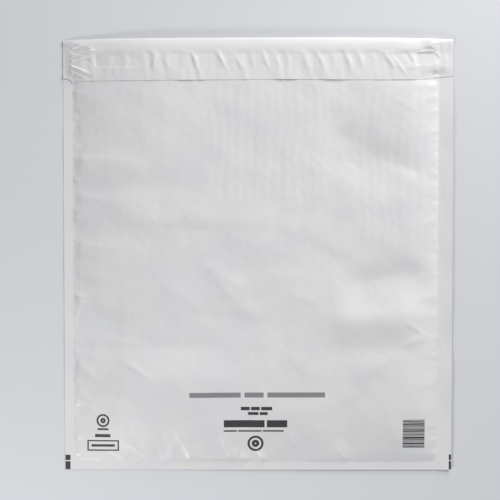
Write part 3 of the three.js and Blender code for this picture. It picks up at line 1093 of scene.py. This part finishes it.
LINING_PITCH, LINING_RISE = 10.2, 8.8  # of the lining's own bubbles
BUBBLE_RADIUS = 0.46 * LINING_PITCH
LINING_INSET = 4.5  # the lining's edges, inside the side and bottom seals
LINING_SETBACK = 7.5  # its mouth edge, below the start of the fold
POCKET_MARGIN = 6.0  # where its two layers are welded together round the pocket
WELD_GAP, POCKET_GAP = 0.012, 0.14  # half of the gap between its layers, and more in the pocket


def bubbles(x, y):
    """Round bubbles in staggered rows: the cap (1 - r squared) to the 0.7 round each one's
    middle."""
    row = np.round(y / LINING_RISE)
    shift = np.where(np.mod(row, 2) == 0, 0.0, 0.5) * LINING_PITCH
    column = np.round((x - shift) / LINING_PITCH)
    dx = (x - shift - column * LINING_PITCH) / BUBBLE_RADIUS
    dy = (y - row * LINING_RISE) / BUBBLE_RADIUS
    return np.clip(1 - dx * dx - dy * dy, 0, 1) ** 0.7


def lining_section(x):
    """The padded lining's closed outline for every column: up its back, over the mouth edge,
    down inside the pocket and up again, over the other edge and down its front."""
    start_y, _, _, _ = fold_start(x)
    low = SEAL_LINE + LINING_INSET
    top = start_y - LINING_SETBACK
    y = low + np.linspace(0, 1, 170)[:, None] * (top - low)
    bump = bubbles(x, y)
    back = middle(x, y) - (half_thickness(x, y) - SEAL_HALF) * (0.5 + 0.14 * bump)
    front = front_inside(x, y, 0.74 + 0.2 * bump)
    inner_y = top + np.linspace(0, 1, 40)[:, None] * (low + POCKET_MARGIN - top)
    inner_mid = middle(x, inner_y)
    open_share = smooth((side_distance(x) - LINING_INSET - POCKET_MARGIN) / 6)
    gap = WELD_GAP + POCKET_GAP * open_share
    air = 0.4 * crown(x, inner_y)
    ys = [y, inner_y, inner_y[::-1], y[::-1]]
    zs = [back, inner_mid - gap, (inner_mid + gap + air)[::-1], front[::-1]]
    return np.vstack(ys), np.vstack(zs)


lining_x = np.linspace(LEFT_LINE + LINING_INSET, RIGHT_LINE - LINING_INSET, 168)
lining_y, lining_z = lining_section(lining_x)
lining = ring_loft("bubble_pad", lining_x, lining_y, lining_z, clear_lining, sharp=60)
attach(lining, "root")
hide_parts("bubble_lining")

# Floor, light and camera

FLOOR_HALF = 6.0
floor_mesh = bpy.data.meshes.new("floor")
corners = [(-1, -1), (1, -1), (1, 1), (-1, 1)]
floor_points = [(x * FLOOR_HALF, y * FLOOR_HALF, 0) for x, y in corners]
floor_mesh.from_pydata(floor_points, [], [(0, 1, 2, 3)])
floor_mesh.materials.append(plain_material("pale floor", (0.63, 0.645, 0.68), 0.9))
floor = bpy.data.objects.new("floor", floor_mesh)
bpy.context.scene.collection.objects.link(floor)


def area_light(name, place, target, size, watts, colour):
    """A round lamp whose -Z axis points at its target."""
    data = bpy.data.lights.new(name, "AREA")
    data.shape = "DISK"
    data.size = size
    data.energy = watts
    data.color = colour
    lamp = bpy.data.objects.new(name, data)
    lamp.location = place
    lamp.rotation_mode = "QUATERNION"
    lamp.rotation_quaternion = (Vector(target) - lamp.location).to_track_quat("-Z", "Y")
    bpy.context.scene.collection.objects.link(lamp)


# A wide lamp at the upper right, and two small ones that graze the lower left and the flap
area_light("key_light", (1.55, 1.65, 1.5), (0.0, 0.0, 0.0), 0.9, 41.0, (1, 0.99, 0.975))
area_light("foot_light", (-0.50, -0.74, 0.60), (-0.1, -0.2, 0.0), 0.4, 4.8, (1, 0.99, 0.98))
area_light("head_light", (0.52, 0.92, 0.28), (0.1, 0.2, 0.0), 0.3, 6.6, (1, 0.98, 0.95))

SKY_COLOUR = (0.96, 0.98, 1.0, 1)
SKY_STRENGTH = 0.31
world = bpy.data.worlds.new("soft studio")
world.use_nodes = True
sky = world.node_tree.nodes["Background"]
sky.inputs["Color"].default_value = SKY_COLOUR
sky.inputs["Strength"].default_value = SKY_STRENGTH
bpy.context.scene.world = world

LENS = 113.2
SENSOR = 36.0
TILT = math.radians(2.35)  # the camera stands a little towards the flap
DISTANCE = 1.5
AIM = (-0.0078, 0.0050, 0.010)
camera_data = bpy.data.cameras.new("camera")
camera_data.sensor_width = SENSOR
camera_data.lens = LENS
camera = bpy.data.objects.new("camera", camera_data)
bpy.context.scene.collection.objects.link(camera)
camera.location = (
    AIM[0],
    AIM[1] + DISTANCE * math.sin(TILT),
    AIM[2] + DISTANCE * math.cos(TILT),
)
camera.rotation_euler = (-TILT, 0.0, 0.0)
bpy.context.scene.camera = camera
bpy.context.scene.view_settings.view_transform = "Standard"
